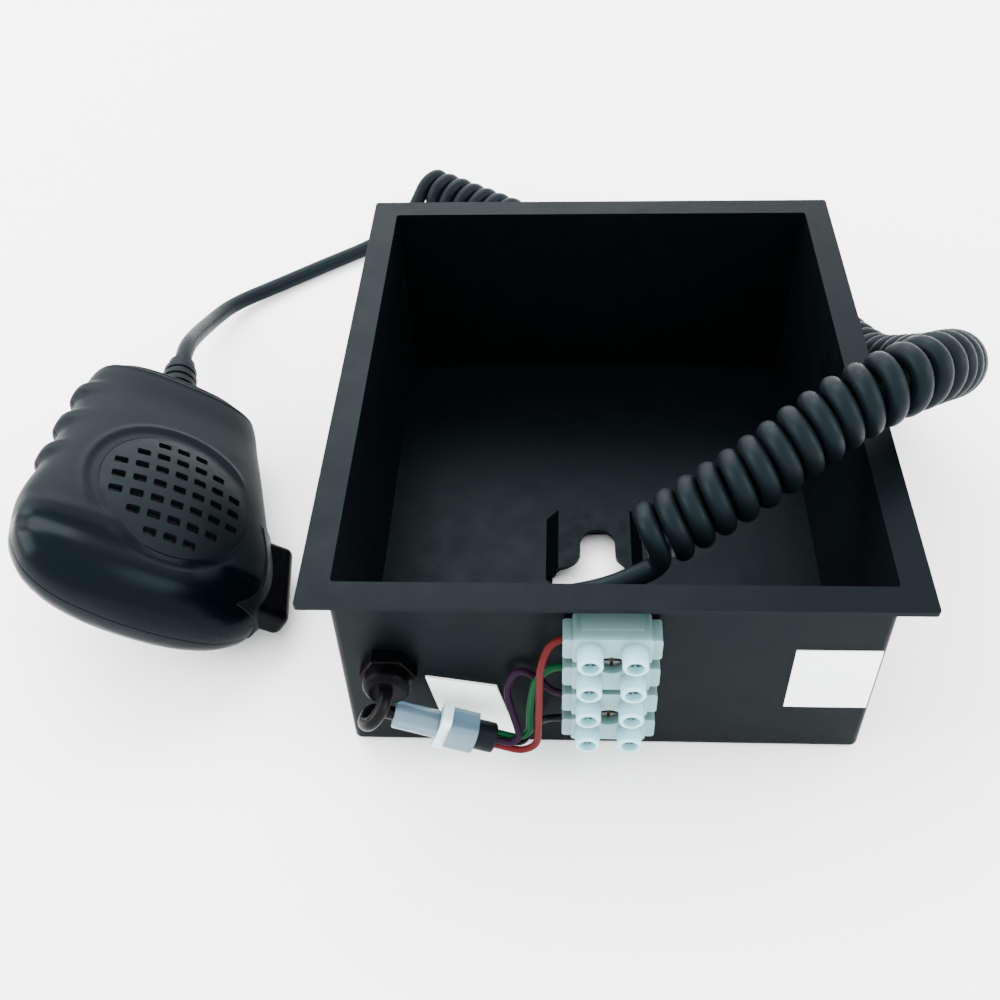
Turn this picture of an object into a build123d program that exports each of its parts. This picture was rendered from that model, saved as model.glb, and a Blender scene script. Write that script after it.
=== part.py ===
from build123d import *
import math
import os

os.makedirs("parts", exist_ok=True)

# ---------------------------------------------------------------- dimensions (mm)
# tray: X is left to right, +Y runs away from the terminal wall, +Z up, origin under the floor's centre
BOX_X = 118.0
BOX_Y = 140.0
BOX_Z = 56.5
SHEET = 1.2
FLANGE = 5.5
EDGE_R = 1.6

# hanger clip on the tray floor
CLIP_TOP = 5.2
CLIP_X0, CLIP_X1 = -11.0, 8.4
CLIP_FOOT = 3.3
CLIP_Y0, CLIP_Y1 = -20.4, 1.4
SLOT_X, SLOT_R = -0.5, 4.65
SLOT_TOP = -6.0
CUT_X0, CUT_X1, CUT_Y0, CUT_Y1 = -12.5, 9.9, -26.5, -3.0

# gland and terminal strip on the front wall
WALL_Y = -BOX_Y / 2
GLAND_X, GLAND_Z = -48.0, 29.5
GLAND_THREAD = 7.9
GLAND_AF = 11.0
STRIP_X = 0.35
STRIP_POLES, STRIP_PITCH = 4, 9.5
STRIP_Z0 = 11.5
STRIP_W = 20.5
TOWER_D = 5.4
TOWER_DX = 4.6
BARREL_Y = WALL_Y - 4.0
BARREL_D, BARREL_BORE = 4.0, 2.6
WIRE_D = 1.6

# cord
CORD_D = 5.0
COIL_D = 17.0
PIGTAIL_D = 3.0

# handset, in its own tilted frame: x across, y along towards the cord, z out of the grille
H_ORIGIN = (-115.8, -13.7, 22.4)
H_YAW, H_ROLL = math.radians(6.4), math.radians(35.4)
H_X = Vector(math.cos(H_YAW) * math.cos(H_ROLL), math.sin(H_YAW) * math.cos(H_ROLL), -math.sin(H_ROLL))
H_Z = Vector(math.cos(H_YAW) * math.sin(H_ROLL), math.sin(H_YAW) * math.sin(H_ROLL), math.cos(H_ROLL))
H_LEN = 81.9
HEAD_HALF, NECK_HALF = 33.1, 24.3
HEAD_FRONT, NECK_FRONT = 13.6, 9.8
HEAD_BACK, NECK_BACK = 12.2, 11.0
SHELL_WALL = 2.2
GRILLE_C = (1.0, -8.0)
GRILLE_R = 19.3
BEZEL_Y0, BEZEL_Y1, BEZEL_Z0, BEZEL_Z1 = -33.0, -4.5, -1.6, 9.8
BEZEL_X0, BEZEL_X1 = 21.0, 33.6
BAR_Y0, BAR_Y1, BAR_Z0, BAR_Z1 = -31.4, -6.1, 0.2, 8.2
BAR_X0, BAR_X1 = 23.6, 36.4
LIP_Y0, LIP_Y1, LIP_Z0, LIP_DEPTH = -26.0, -11.4, -0.95, 1.8
BAR_TRAVEL = 2.0
STUD_Y = 1.6
STUD_TIP = -22.6
BOOT_END = 57.4

H = Plane(origin=H_ORIGIN, x_dir=H_X, z_dir=H_Z)
H_Y = H.y_dir


def hp(x, y, z):
    return Vector(*H_ORIGIN) + H_X * x + H_Y * y + H_Z * z


def face_on(x, y, z):
    # working plane parallel to the grille face
    return Plane(origin=hp(x, y, z), x_dir=H_X, z_dir=H_Z)


def cross_at(x, y, z):
    # working plane across the handset, its x along the handset's x and its normal towards the head
    return Plane(origin=hp(x, y, z), x_dir=H_X, z_dir=H_Y * -1)


def side_at(x, y, z):
    # working plane whose normal points out of the handset's right side
    return Plane(origin=hp(x, y, z), x_dir=H_Y, z_dir=H_X)


def across(pts):
    # plane at a route's first point, square to its first run
    return Plane(origin=pts[0], z_dir=Vector(*pts[1]) - Vector(*pts[0]))


def corner_radii(pts):
    out = []
    for a, b, c in zip(pts, pts[1:], pts[2:]):
        u, v = Vector(*b) - Vector(*a), Vector(*c) - Vector(*b)
        half = math.radians(u.get_angle(v)) / 2
        out.append(0.45 * min(u.length, v.length) / math.tan(half))
    return out


def told(name, built, path, diameter, pts):
    wanted = math.pi * diameter**2 / 4 * path.length
    smallest = min(corner_radii(pts))
    print(f"{name} length {path.length:.1f} least radius {smallest:.1f} volume {built.volume / wanted:.4f} of section x length")


# ---------------------------------------------------------------- routes of the cord and wires
TAIL = [(12.2, -51.1, 42.7), (3.8, -54.2, 39.6), (-8.5, -55.7, 36.6), (-24.0, -54.0, 32.6), (-39.2, -51.0, 29.9),
        (-48.0, -59.8, GLAND_Z), (-48.0, -73.4, GLAND_Z)]
COIL = [(8.9, -47.3, 46.0), (16.8, -44.0, 50.0), (24.9, -41.3, 54.5), (33.0, -37.8, 58.5), (41.9, -32.9, 63.0),
        (50.3, -28.2, 67.0), (58.1, -24.9, 70.0), (65.6, -20.8, 70.9), (73.0, -14.2, 68.2), (80.1, -5.0, 61.8),
        (85.8, 6.8, 52.6), (89.2, 19.8, 42.0), (88.9, 32.9, 31.4), (85.4, 44.1, 22.0), (81.4, 54.8, 14.0),
        (71.0, 82.0, 9.0), (56.0, 101.0, 8.8), (34.0, 113.0, 8.8), (8.0, 121.0, 8.8), (-14.5, 129.0, 8.8),
        (-36.5, 146.0, 8.9), (-59.1, 159.2, 10.2)]
LEAD_END = hp(0, BOOT_END + 0.3, 0)
LEAD_IN = hp(0, BOOT_END + 7.6, 0)
LEAD = [(-61.5, 154.1, 12.3), (-64.9, 149.7, 6.5), (-71.0, 142.2, 2.9), (-80.6, 132.8, 2.7), (-92.8, 123.4, 2.7),
        (-108.3, 110.3, 2.9), (-121.6, 97.6, 4.2), (-124.4, 80.7, 9.5), (-123.9, 63.6, 17.2), tuple(LEAD_IN), tuple(LEAD_END)]
# line through the two inline connectors
CON_A = Vector(-47.2, -76.4, 20.4)
CON_U = Vector(21.8, -1.4, -6.9).normalized()


def con(t, dy=0.0, dz=0.0):
    return CON_A + CON_U * t + Vector(0, 1, 0) * dy + Vector(0.3, 0, 0.954) * dz


def pole_z(k):
    return STRIP_Z0 + STRIP_PITCH * (STRIP_POLES - k - 0.5)


def lead_in(reach, dy, dz):
    # last two points of a wire: its bend into the connector boot, then its end inside
    return [tuple(con(reach, dy, dz)), tuple(con(21.2, dy, dz))]


WIRE_X = STRIP_X - 3.4
RED = [(WIRE_X, BARREL_Y, pole_z(0)), (-12.2, BARREL_Y, pole_z(0)), (-14.6, -76.8, 39.0), (-14.9, -77.8, 22.0)] + lead_in(33.6, -0.95, -0.95)
GREEN = [(WIRE_X, BARREL_Y, pole_z(1)), (-12.2, BARREL_Y, pole_z(1)), (-15.8, -74.6, 31.0), (-17.1, -75.2, 21.0)] + lead_in(31.4, 0.95, 0.95)
VIOLET = [(WIRE_X, BARREL_Y, pole_z(2)), (-12.0, BARREL_Y, pole_z(2)), (-15.0, -72.0, 28.4), (-19.8, -71.6, 31.4),
          (-22.4, -73.0, 25.2)] + lead_in(29.8, -0.95, 0.95)
BLACK = [(WIRE_X, BARREL_Y, pole_z(3)), (-11.6, BARREL_Y, pole_z(3)), (-14.4, -72.2, 12.6), (-17.4, -72.4, 8.6)] + lead_in(30.4, 0.95, -0.95)
PIGTAIL = [(GLAND_X, -73.5, GLAND_Z), (GLAND_X, -81.0, GLAND_Z), (-50.6, -84.0, 27.2), (-53.2, -81.4, 23.6), tuple(con(-5.2)), tuple(con(1.4))]


# ---------------------------------------------------------------- tray
with BuildPart() as back_box:
    with BuildSketch(Plane.XY):
        Rectangle(BOX_X, BOX_Y)
    extrude(amount=BOX_Z)
    fillet(back_box.edges().filter_by(Axis.Z), radius=EDGE_R)
    fillet(back_box.faces().sort_by(Axis.Z)[0].edges(), radius=EDGE_R * 0.8)
    with BuildSketch(Plane.XY.offset(BOX_Z - SHEET)):
        RectangleRounded(BOX_X + 2 * FLANGE, BOX_Y + 2 * FLANGE, 0.9)
    extrude(amount=SHEET)
    with BuildSketch(Plane.XY.offset(SHEET)):
        RectangleRounded(BOX_X - 2 * SHEET, BOX_Y - 2 * SHEET, 0.8)
    extrude(amount=BOX_Z, mode=Mode.SUBTRACT)
    # cut-out under the hanger clip
    with BuildSketch(Plane.XY):
        with Locations(((CUT_X0 + CUT_X1) / 2, (CUT_Y0 + CUT_Y1) / 2)):
            RectangleRounded(CUT_X1 - CUT_X0, CUT_Y1 - CUT_Y0, 1.5)
    extrude(amount=SHEET, mode=Mode.SUBTRACT)
    # gland hole and the strip's two fixing holes in the front wall
    with BuildSketch(Plane(origin=(0, WALL_Y - 1, 0), x_dir=(1, 0, 0), z_dir=(0, -1, 0))):
        with Locations((GLAND_X, GLAND_Z)):
            Circle(GLAND_THREAD / 2 + 0.1)
        with Locations((STRIP_X, STRIP_Z0 + STRIP_PITCH), (STRIP_X, STRIP_Z0 + 3 * STRIP_PITCH)):
            Circle(1.6)
    extrude(amount=-(SHEET + 2), mode=Mode.SUBTRACT)
back_box.part.label = "back_box"
export_step(back_box.part, "parts/back_box.step")

# ---------------------------------------------------------------- hanger clip
CLIP_PROFILE = [(CLIP_X0 - CLIP_FOOT, SHEET), (CLIP_X0, CLIP_TOP), (CLIP_X1, CLIP_TOP), (CLIP_X1 + CLIP_FOOT, SHEET),
                (CLIP_X1 + CLIP_FOOT - 1.55, SHEET), (CLIP_X1 - 0.55, CLIP_TOP - SHEET), (CLIP_X0 + 0.55, CLIP_TOP - SHEET),
                (CLIP_X0 - CLIP_FOOT + 1.55, SHEET)]
with BuildPart() as hanger_clip:
    with BuildSketch(Plane(origin=(0, CLIP_Y0, 0), x_dir=(1, 0, 0), z_dir=(0, -1, 0))):
        with BuildLine():
            Polyline(*CLIP_PROFILE, close=True)
        make_face()
    extrude(amount=-(CLIP_Y1 - CLIP_Y0))
    # arch slot that flares into a bell at its mouth
    with BuildSketch(Plane.XY):
        with BuildLine():
            l1 = Line((SLOT_X - SLOT_R, SLOT_TOP - SLOT_R), (SLOT_X - SLOT_R, -14.2))
            l2 = Spline((SLOT_X - SLOT_R, -14.2), (SLOT_X - SLOT_R - 1.0, -17.2), (SLOT_X - SLOT_R - 4.1, -19.4),
                        (CLIP_X0 - 0.4, CLIP_Y0 + 0.6), tangents=[(0, -1), (-1, -0.05)])
            l3 = Polyline((CLIP_X0 - 0.4, CLIP_Y0 + 0.6), (CLIP_X0 - 0.4, CLIP_Y0 - 2), (CLIP_X1 + 0.4, CLIP_Y0 - 2),
                          (CLIP_X1 + 0.4, CLIP_Y0 + 0.6))
            l4 = Spline((CLIP_X1 + 0.4, CLIP_Y0 + 0.6), (SLOT_X + SLOT_R + 3.2, -19.3), (SLOT_X + SLOT_R + 0.9, -17.2),
                        (SLOT_X + SLOT_R, -14.2), tangents=[(-1, 0.05), (0, 1)])
            l5 = Line((SLOT_X + SLOT_R, -14.2), (SLOT_X + SLOT_R, SLOT_TOP - SLOT_R))
            l6 = RadiusArc((SLOT_X + SLOT_R, SLOT_TOP - SLOT_R), (SLOT_X - SLOT_R, SLOT_TOP - SLOT_R), -SLOT_R)
        make_face()
    extrude(amount=CLIP_TOP + 2, mode=Mode.SUBTRACT)
hanger_clip.part.label = "hanger_clip"
export_step(hanger_clip.part, "parts/hanger_clip.step")

# ---------------------------------------------------------------- cable gland
OUTWARD = Plane(origin=(GLAND_X, WALL_Y, GLAND_Z), x_dir=(1, 0, 0), z_dir=(0, -1, 0))
with BuildPart() as cable_gland:
    with BuildSketch(OUTWARD):
        RegularPolygon(GLAND_AF / 2, 6, major_radius=False)
    extrude(amount=3.4)
    chamfer(cable_gland.faces().sort_by(Axis.Y)[0].edges(), length=0.35)
    with BuildSketch(OUTWARD):
        Circle(GLAND_THREAD / 2)
    extrude(amount=-4.2)
    with BuildSketch(OUTWARD.offset(5)):
        Circle(CORD_D / 2 + 0.05)
    extrude(amount=-12, mode=Mode.SUBTRACT)
cable_gland.part.label = "cable_gland"
export_step(cable_gland.part, "parts/cable_gland.step")

with BuildPart() as gland_cap:
    with BuildSketch(OUTWARD.offset(3.4)):
        Circle(5.3)
    extrude(amount=4.0)
    fillet(gland_cap.faces().sort_by(Axis.Y)[0].edges(), radius=1.8)
    # wide part for the cord's end, narrow mouth for the pigtail
    with BuildSketch(OUTWARD.offset(3.4)):
        Circle(CORD_D / 2 + 0.05)
    extrude(amount=0.1, mode=Mode.SUBTRACT)
    with BuildSketch(OUTWARD.offset(3.4)):
        Circle(PIGTAIL_D / 2 + 0.05)
    extrude(amount=5, mode=Mode.SUBTRACT)
gland_cap.part.label = "gland_cap"
export_step(gland_cap.part, "parts/gland_cap.step")

with BuildPart() as gland_locknut:
    with BuildSketch(OUTWARD.offset(-SHEET)):
        RegularPolygon(GLAND_AF / 2, 6, major_radius=False)
        Circle(GLAND_THREAD / 2 + 0.03, mode=Mode.SUBTRACT)
    extrude(amount=-2.2)
gland_locknut.part.label = "gland_locknut"
export_step(gland_locknut.part, "parts/gland_locknut.step")

# ---------------------------------------------------------------- terminal strip
TOWERS = [(STRIP_X + s * TOWER_DX, pole_z(k)) for k in range(STRIP_POLES) for s in (-1, 1)]
VALLEYS = [(STRIP_X, STRIP_Z0 + STRIP_PITCH), (STRIP_X, STRIP_Z0 + 3 * STRIP_PITCH)]
ON_WALL = Plane(origin=(0, WALL_Y, 0), x_dir=(1, 0, 0), z_dir=(0, -1, 0))
with BuildPart() as terminal_strip_body:
    # spine between the poles
    with BuildSketch(ON_WALL):
        with Locations((STRIP_X, STRIP_Z0 + 2 * STRIP_PITCH)):
            Rectangle(13.0, 4 * STRIP_PITCH - 1.2)
    extrude(amount=4.4)
    # the four pole blocks and their narrower stepped ends
    with BuildSketch(ON_WALL):
        with Locations(*[(STRIP_X, pole_z(k)) for k in range(STRIP_POLES)]):
            RectangleRounded(16.4, 7.6, 0.8)
    extrude(amount=7.0)
    with BuildSketch(ON_WALL.offset(0.9)):
        with Locations(*[(STRIP_X, pole_z(k)) for k in range(STRIP_POLES)]):
            RectangleRounded(STRIP_W, 6.2, 0.8)
    extrude(amount=5.6)
    # screw towers
    with BuildSketch(ON_WALL.offset(3.0)):
        with Locations(*TOWERS):
            Circle(TOWER_D / 2)
    extrude(amount=8.4)
    fillet(terminal_strip_body.faces().sort_by(Axis.Y)[0:8].edges(), radius=0.5)
    # barrel bores along X
    with BuildSketch(Plane(origin=(STRIP_X - STRIP_W, BARREL_Y, 0), x_dir=(0, 1, 0), z_dir=(1, 0, 0))):
        with Locations(*[(0, pole_z(k)) for k in range(STRIP_POLES)]):
            Circle(BARREL_D / 2 + 0.03)
    extrude(amount=2 * STRIP_W, mode=Mode.SUBTRACT)
    # screw wells
    with BuildSketch(ON_WALL.offset(4.0)):
        with Locations(*TOWERS):
            Circle(1.85)
    extrude(amount=10, mode=Mode.SUBTRACT)
    # fixing holes in two valleys
    with BuildSketch(ON_WALL):
        with Locations(*VALLEYS):
            Circle(1.6)
    extrude(amount=10, mode=Mode.SUBTRACT)
    with BuildSketch(ON_WALL.offset(3.6)):
        with Locations(*VALLEYS):
            Circle(2.9)
    extrude(amount=10, mode=Mode.SUBTRACT)
terminal_strip_body.part.label = "terminal_strip_body"
export_step(terminal_strip_body.part, "parts/terminal_strip_body.step")

with BuildPart() as terminal_barrels:
    with BuildSketch(Plane(origin=(STRIP_X - 7.6, BARREL_Y, 0), x_dir=(0, 1, 0), z_dir=(1, 0, 0))):
        with Locations(*[(0, pole_z(k)) for k in range(STRIP_POLES)]):
            Circle(BARREL_D / 2)
    extrude(amount=15.2)
    with BuildSketch(Plane(origin=(STRIP_X - 8, BARREL_Y, 0), x_dir=(0, 1, 0), z_dir=(1, 0, 0))):
        with Locations(*[(0, pole_z(k)) for k in range(STRIP_POLES)]):
            Circle(BARREL_BORE / 2)
    extrude(amount=16, mode=Mode.SUBTRACT)
    with BuildSketch(ON_WALL.offset(4.0)):
        with Locations(*TOWERS):
            Circle(1.3)
    extrude(amount=10, mode=Mode.SUBTRACT)
terminal_barrels.part.label = "terminal_barrels"
export_step(terminal_barrels.part, "parts/terminal_barrels.step")

with BuildPart() as terminal_screws:
    with BuildSketch(ON_WALL.offset(4.9)):
        with Locations(*TOWERS):
            Circle(1.25)
    extrude(amount=2.6)
    with BuildSketch(ON_WALL.offset(7.2)):
        with Locations(*TOWERS):
            Circle(1.7)
    extrude(amount=2.4)
    # screwdriver slots
    with BuildSketch(ON_WALL.offset(8.8)):
        with Locations(*TOWERS):
            Rectangle(0.6, 4)
    extrude(amount=2, mode=Mode.SUBTRACT)
terminal_screws.part.label = "terminal_screws"
export_step(terminal_screws.part, "parts/terminal_screws.step")

with BuildPart() as strip_fixing_screws:
    with BuildSketch(ON_WALL.offset(3.6)):
        with Locations(*VALLEYS):
            Circle(2.7)
    extrude(amount=1.9)
    fillet(strip_fixing_screws.faces().sort_by(Axis.Y)[0:2].edges(), radius=0.8)
    with BuildSketch(ON_WALL.offset(3.6)):
        with Locations(*VALLEYS):
            Circle(1.45)
    extrude(amount=-8.4)
    with BuildSketch(ON_WALL.offset(4.6)):
        with Locations(*VALLEYS):
            Rectangle(4.0, 0.7)
            Rectangle(0.7, 4.0)
    extrude(amount=2, mode=Mode.SUBTRACT)
strip_fixing_screws.part.label = "strip_fixing_screws"
export_step(strip_fixing_screws.part, "parts/strip_fixing_screws.step")

with BuildPart() as strip_fixing_nuts:
    with BuildSketch(ON_WALL.offset(-SHEET)):
        with Locations(*VALLEYS):
            RegularPolygon(2.75, 6, major_radius=False)
            Circle(1.48, mode=Mode.SUBTRACT)
    extrude(amount=-2.3)
strip_fixing_nuts.part.label = "strip_fixing_nuts"
export_step(strip_fixing_nuts.part, "parts/strip_fixing_nuts.step")

# ---------------------------------------------------------------- wires and inline connectors
with BuildPart() as wire_red:
    with BuildLine() as red_path:
        FilletPolyline(*RED, radius=corner_radii(RED))
    with BuildSketch(across(RED)):
        Circle(WIRE_D / 2)
    sweep()
wire_red.part.label = "wire_red"
export_step(wire_red.part, "parts/wire_red.step")
told("wire_red", wire_red.part, red_path.wire(), WIRE_D, RED)

with BuildPart() as wire_green:
    with BuildLine() as green_path:
        FilletPolyline(*GREEN, radius=corner_radii(GREEN))
    with BuildSketch(across(GREEN)):
        Circle(WIRE_D / 2)
    sweep()
wire_green.part.label = "wire_green"
export_step(wire_green.part, "parts/wire_green.step")
told("wire_green", wire_green.part, green_path.wire(), WIRE_D, GREEN)

with BuildPart() as wire_violet:
    with BuildLine() as violet_path:
        FilletPolyline(*VIOLET, radius=corner_radii(VIOLET))
    with BuildSketch(across(VIOLET)):
        Circle(WIRE_D / 2)
    sweep()
wire_violet.part.label = "wire_violet"
export_step(wire_violet.part, "parts/wire_violet.step")
told("wire_violet", wire_violet.part, violet_path.wire(), WIRE_D, VIOLET)

with BuildPart() as wire_black:
    with BuildLine() as black_path:
        FilletPolyline(*BLACK, radius=corner_radii(BLACK))
    with BuildSketch(across(BLACK)):
        Circle(WIRE_D / 2)
    sweep()
wire_black.part.label = "wire_black"
export_step(wire_black.part, "parts/wire_black.step")
told("wire_black", wire_black.part, black_path.wire(), WIRE_D, BLACK)

with BuildPart() as pigtail:
    with BuildLine() as pigtail_path:
        FilletPolyline(*PIGTAIL, radius=corner_radii(PIGTAIL))
    with BuildSketch(across(PIGTAIL)):
        Circle(PIGTAIL_D / 2)
    sweep()
pigtail.part.label = "pigtail"
export_step(pigtail.part, "parts/pigtail.step")
told("pigtail", pigtail.part, pigtail_path.wire(), PIGTAIL_D, PIGTAIL)

CON_PLANE = Plane(origin=CON_A, x_dir=(0, 1, 0), z_dir=CON_U)
with BuildPart() as inline_connector_a:
    with BuildSketch(CON_PLANE):
        Circle(3.1)
    extrude(amount=10.2)
    fillet(inline_connector_a.edges().filter_by(GeomType.CIRCLE), radius=0.5)
    with BuildSketch(CON_PLANE.offset(-1)):
        Circle(PIGTAIL_D / 2 + 0.15)
    extrude(amount=14, mode=Mode.SUBTRACT)
inline_connector_a.part.label = "inline_connector_a"
export_step(inline_connector_a.part, "parts/inline_connector_a.step")

with BuildPart() as connector_collar:
    with BuildSketch(CON_PLANE.offset(10.2)):
        RectangleRounded(6.0, 11.2, 1.2)
        Circle(1.7, mode=Mode.SUBTRACT)
    extrude(amount=2.2)
connector_collar.part.label = "connector_collar"
export_step(connector_collar.part, "parts/connector_collar.step")

with BuildPart() as inline_connector_b:
    with BuildSketch(CON_PLANE.offset(12.4)):
        RectangleRounded(7.4, 8.2, 2.0)
    extrude(amount=6.4)
    with BuildSketch(CON_PLANE.offset(12)):
        Circle(2.5)
    extrude(amount=8, mode=Mode.SUBTRACT)
inline_connector_b.part.label = "inline_connector_b"
export_step(inline_connector_b.part, "parts/inline_connector_b.step")

with BuildPart() as connector_boot:
    with BuildSketch(CON_PLANE.offset(18.8)):
        Circle(3.4)
    extrude(amount=4.6)
    fillet(connector_boot.faces().sort_by(Axis.X)[-1].edges(), radius=0.7)
    with BuildSketch(CON_PLANE.offset(18)):
        Circle(2.4)
    extrude(amount=7, mode=Mode.SUBTRACT)
connector_boot.part.label = "connector_boot"
export_step(connector_boot.part, "parts/connector_boot.step")

# ---------------------------------------------------------------- bare label and card
with BuildPart() as white_label:
    with BuildSketch(ON_WALL):
        with Locations((48.9, 26.65)):
            Rectangle(18.2, 20.5)
    extrude(amount=0.25)
white_label.part.label = "white_label"
export_step(white_label.part, "parts/white_label.step")

with BuildPart() as cream_card:
    with BuildSketch(ON_WALL):
        with BuildLine():
            Polyline((-40.2, 26.0), (-24.5, 22.8), (-19.9, 1.5), (-36.5, 5.5), close=True)
        make_face()
    extrude(amount=0.6)
cream_card.part.label = "cream_card"
export_step(cream_card.part, "parts/cream_card.step")

# ---------------------------------------------------------------- cord
with BuildPart() as cord_tail:
    with BuildLine() as tail_path:
        FilletPolyline(*TAIL, radius=corner_radii(TAIL))
    with BuildSketch(across(TAIL)):
        Circle(CORD_D / 2)
    sweep()
cord_tail.part.label = "cord_tail"
export_step(cord_tail.part, "parts/cord_tail.step")
told("cord_tail", cord_tail.part, tail_path.wire(), CORD_D, TAIL)

with BuildPart() as cord_coil:
    with BuildLine() as coil_path:
        FilletPolyline(*COIL, radius=corner_radii(COIL))
    with BuildSketch(across(COIL)):
        Circle(COIL_D / 2)
    sweep()
cord_coil.part.label = "cord_coil"
export_step(cord_coil.part, "parts/cord_coil.step")
told("cord_coil", cord_coil.part, coil_path.wire(), COIL_D, COIL)

with BuildPart() as cord_lead:
    with BuildLine() as lead_path:
        FilletPolyline(*LEAD, radius=corner_radii(LEAD))
    with BuildSketch(across(LEAD)):
        Circle(CORD_D / 2)
    sweep()
cord_lead.part.label = "cord_lead"
export_step(cord_lead.part, "parts/cord_lead.step")
told("cord_lead", cord_lead.part, lead_path.wire(), CORD_D, LEAD)

# ---------------------------------------------------------------- handset casing form
SHARE = [0, 0.012, 0.045, 0.10, 0.19, 0.31, 0.5, 0.68, 0.84, 0.94, 0.98, 1.0]
HALF_W = [0.30 * HEAD_HALF, 0.50 * HEAD_HALF, 0.72 * HEAD_HALF, 0.88 * HEAD_HALF, 0.98 * HEAD_HALF, HEAD_HALF,
          0.62 * HEAD_HALF + 0.38 * NECK_HALF, 1.13 * NECK_HALF, 1.04 * NECK_HALF, 0.98 * NECK_HALF, 0.90 * NECK_HALF, 0.80 * NECK_HALF]
FRONT = [0.30 * HEAD_FRONT, 0.46 * HEAD_FRONT, 0.68 * HEAD_FRONT, 0.86 * HEAD_FRONT, 0.98 * HEAD_FRONT, HEAD_FRONT,
         0.98 * HEAD_FRONT, 0.5 * (HEAD_FRONT + NECK_FRONT), 1.02 * NECK_FRONT, 0.98 * NECK_FRONT, 0.9 * NECK_FRONT, 0.8 * NECK_FRONT]
BACK = [0.35 * HEAD_BACK, 0.5 * HEAD_BACK, 0.7 * HEAD_BACK, 0.86 * HEAD_BACK, 0.97 * HEAD_BACK, HEAD_BACK,
        0.95 * HEAD_BACK, 0.5 * (HEAD_BACK + NECK_BACK), 1.02 * NECK_BACK, 0.97 * NECK_BACK, 0.88 * NECK_BACK, 0.75 * NECK_BACK]


def at_share(table, s):
    for a, b, p, q in zip(SHARE, SHARE[1:], table, table[1:]):
        if s <= b:
            return p + (q - p) * (s - a) / (b - a)
    return table[-1]


def ring_face(y, half, front, back):
    # closed outline across the handset, fuller towards the front than the back
    pts = []
    for k in range(28):
        th = 2 * math.pi * k / 28
        c, s = math.cos(th), math.sin(th)
        n = 2.7 if s >= 0 else 2.3
        x = half * math.copysign(abs(c) ** (2 / n), c)
        z = (front if s >= 0 else back) * math.copysign(abs(s) ** (2 / n), s)
        pts.append(hp(x, y, z))
    return Face(Wire([Edge.make_spline(pts, periodic=True)]))


def casing(wall):
    faces = []
    shares = SHARE if wall == 0 else [0.05, 0.10, 0.19, 0.31, 0.5, 0.68, 0.84, 0.955]
    for s in shares:
        faces.append(ring_face(-H_LEN / 2 + H_LEN * s, at_share(HALF_W, s) - wall, at_share(FRONT, s) - wall, at_share(BACK, s) - wall))
    return Solid.make_loft([f.outer_wire() for f in faces], ruled=False)


outer_form = casing(0)
inner_form = casing(SHELL_WALL)
BOSSES = [(-19.5, -27.0), (21.0, 3.5), (-24.0, 6.0), (15.5, 31.0), (-15.5, 31.0)]

with BuildPart() as front_shell:
    add(outer_form)
    split(bisect_by=H, keep=Keep.TOP)
    add(inner_form, mode=Mode.SUBTRACT)
    # seat of the grille insert
    with BuildSketch(face_on(GRILLE_C[0], GRILLE_C[1], 7.0)):
        Circle(GRILLE_R + 0.06)
    extrude(amount=12, mode=Mode.SUBTRACT)
    # seat of the talk bar's surround
    with BuildSketch(side_at(BEZEL_X0, (BEZEL_Y0 + BEZEL_Y1) / 2, (BEZEL_Z0 + BEZEL_Z1) / 2)):
        Rectangle(BEZEL_Y1 - BEZEL_Y0, BEZEL_Z1 - BEZEL_Z0)
    extrude(amount=14, mode=Mode.SUBTRACT)
    # cord entry
    with BuildSketch(cross_at(0, 45, 0)):
        Circle(5.1)
    extrude(amount=11, mode=Mode.SUBTRACT)
front_shell.part.label = "front_shell"
export_step(front_shell.part, "parts/front_shell.step")

with BuildPart() as rear_shell:
    add(outer_form)
    split(bisect_by=H, keep=Keep.BOTTOM)
    add(inner_form, mode=Mode.SUBTRACT)
    # bosses that the casing screws pass through, and the stud's boss
    with BuildSketch(face_on(0, 0, -4.0)):
        with Locations(BOSSES[1], BOSSES[2], BOSSES[3], BOSSES[4]):
            Circle(2.9)
        with Locations((0, STUD_Y)):
            Circle(5.5)
    extrude(amount=-6.2)
    add(outer_form, mode=Mode.INTERSECT)
    with BuildSketch(side_at(BEZEL_X0, (BEZEL_Y0 + BEZEL_Y1) / 2, (BEZEL_Z0 + BEZEL_Z1) / 2)):
        Rectangle(BEZEL_Y1 - BEZEL_Y0, BEZEL_Z1 - BEZEL_Z0)
    extrude(amount=14, mode=Mode.SUBTRACT)
    with BuildSketch(cross_at(0, 45, 0)):
        Circle(5.1)
    extrude(amount=11, mode=Mode.SUBTRACT)
    with BuildSketch(face_on(0, 0, 1.0)):
        with Locations(BOSSES[1], BOSSES[2], BOSSES[3], BOSSES[4]):
            Circle(1.5)
        with Locations((0, STUD_Y)):
            Circle(2.05)
    extrude(amount=-20, mode=Mode.SUBTRACT)
rear_shell.part.label = "rear_shell"
export_step(rear_shell.part, "parts/rear_shell.step")

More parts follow.
